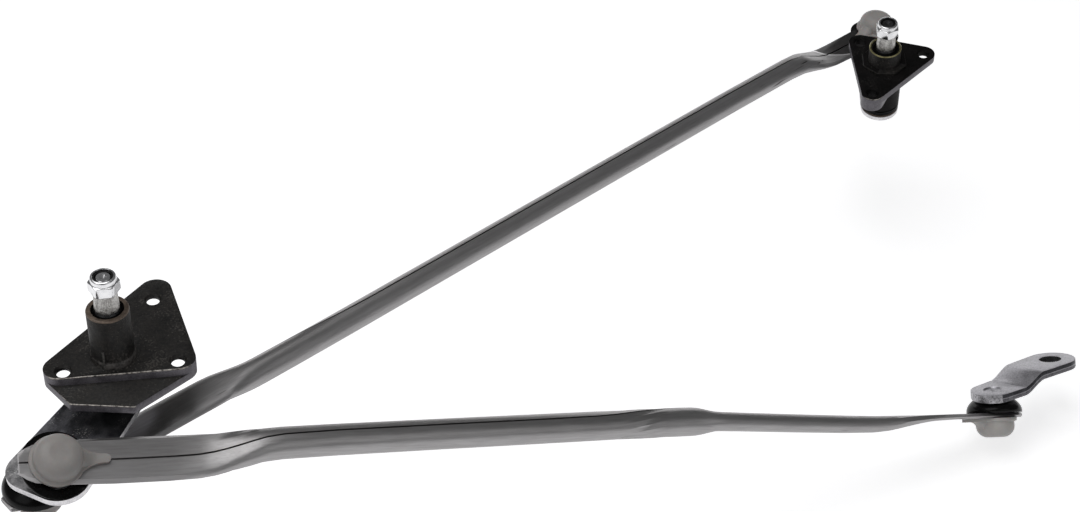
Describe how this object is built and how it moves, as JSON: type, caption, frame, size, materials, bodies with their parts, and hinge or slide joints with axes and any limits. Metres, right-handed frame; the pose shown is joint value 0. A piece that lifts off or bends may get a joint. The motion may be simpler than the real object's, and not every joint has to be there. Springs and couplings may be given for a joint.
{
  "type": "wiper linkage",
  "caption": "Windscreen wiper linkage with cast pivot housings, splined spindles, cranks with ball studs, rolled steel links in push-on sockets and a motor crank arm.",
  "frame": {"origin": "on the left spindle's axis, at the top face of the left housing's mounting plate", "axes": "+Z along the left spindle towards the wiper arm; +X towards the right pivot as the picture shows it, at right angles to the line of sight; +Y away from the viewer"},
  "size_m": [0.5675, 0.5018, 0.1982],
  "materials": {
    "cast_black": "pressure-cast light alloy with a near-black coat, fine cast grain, satin",
    "zinc_plate": "stamped steel, zinc plated, mottled satin",
    "bright_zinc": "turned or cold-formed steel, bright zinc plated",
    "link_steel": "cold-rolled strip, satin grey with a fine lengthwise grain",
    "bronze": "sintered bronze, oil-soaked, matt",
    "spring_steel": "phosphated spring steel, dark satin",
    "grey_nylon": "moulded nylon, warm light grey, satin",
    "black_nylon": "nylon locking ring, black",
    "black_rubber": "moulded rubber, black, slightly glossy"
  },
  "bodies": {
    "left_pivot": {"left_housing": "cast_black", "left_upper_bush": "bronze", "left_lower_bush": "bronze", "left_upper_seal": "black_rubber", "left_lower_seal": "black_rubber"},
    "left_crank": {"left_spindle": "bright_zinc", "left_thrust_washer": "spring_steel", "left_circlip": "spring_steel", "left_lower_washer": "spring_steel", "left_nut": "bright_zinc", "left_nut_insert": "black_nylon", "left_crank_lever": "zinc_plate", "left_drive_ball_stud": "bright_zinc", "left_link_ball_stud": "bright_zinc"},
    "drive_link": {"drive_link_tube": "link_steel", "drive_link_left_socket": "grey_nylon", "drive_link_left_boot": "black_rubber", "drive_link_right_socket": "grey_nylon", "drive_link_right_boot": "black_rubber"},
    "motor_crank": {"motor_crank_arm": "zinc_plate", "motor_crank_ball_stud": "bright_zinc"},
    "long_link": {"long_link_tube": "link_steel", "long_link_left_socket": "grey_nylon", "long_link_left_boot": "black_rubber", "long_link_right_socket": "grey_nylon", "long_link_right_boot": "black_rubber"},
    "right_crank": {"right_spindle": "bright_zinc", "right_thrust_washer": "spring_steel", "right_circlip": "spring_steel", "right_lower_washer": "spring_steel", "right_nut": "bright_zinc", "right_nut_insert": "black_nylon", "right_crank_lever": "zinc_plate", "right_ball_stud": "bright_zinc"},
    "right_pivot": {"right_housing": "cast_black", "right_upper_bush": "bronze", "right_lower_bush": "bronze", "right_upper_seal": "black_rubber", "right_lower_seal": "black_rubber"}
  },
  "joints": [
    {"name": "left_spindle_turn", "type": "hinge", "parent": "left_pivot", "child": "left_crank", "pos_m": [0, 0, 0], "axis": [0, 0, 1], "range_deg": [-50, 50]},
    {"name": "drive_link_left_ball", "type": "hinge", "parent": "left_crank", "child": "drive_link", "pos_m": [-0.01078, -0.06309, -0.0074], "axis": [0, 0, 1], "range_deg": [-60, 8]},
    {"name": "motor_crank_ball", "type": "hinge", "parent": "drive_link", "child": "motor_crank", "pos_m": [0.47495, 0.1421, -0.13789], "axis": [-0.1873, 0.4554, 0.8704], "continuous": true},
    {"name": "long_link_left_ball", "type": "hinge", "parent": "left_crank", "child": "long_link", "pos_m": [-0.02452, -0.05749, -0.0374], "axis": [0, 0, 1], "range_deg": [-10, 60]},
    {"name": "long_link_right_ball", "type": "hinge", "parent": "long_link", "child": "right_crank", "pos_m": [0.41404, 0.4079, -0.03182], "axis": [-0.1164, -0.1534, 0.9813], "range_deg": [-10, 60]},
    {"name": "right_spindle_turn", "type": "hinge", "parent": "right_crank", "child": "right_pivot", "pos_m": [0.40952, 0.34156, -0.01837], "axis": [-0.1164, -0.1534, 0.9813], "range_deg": [-45, 45]}
  ]
}
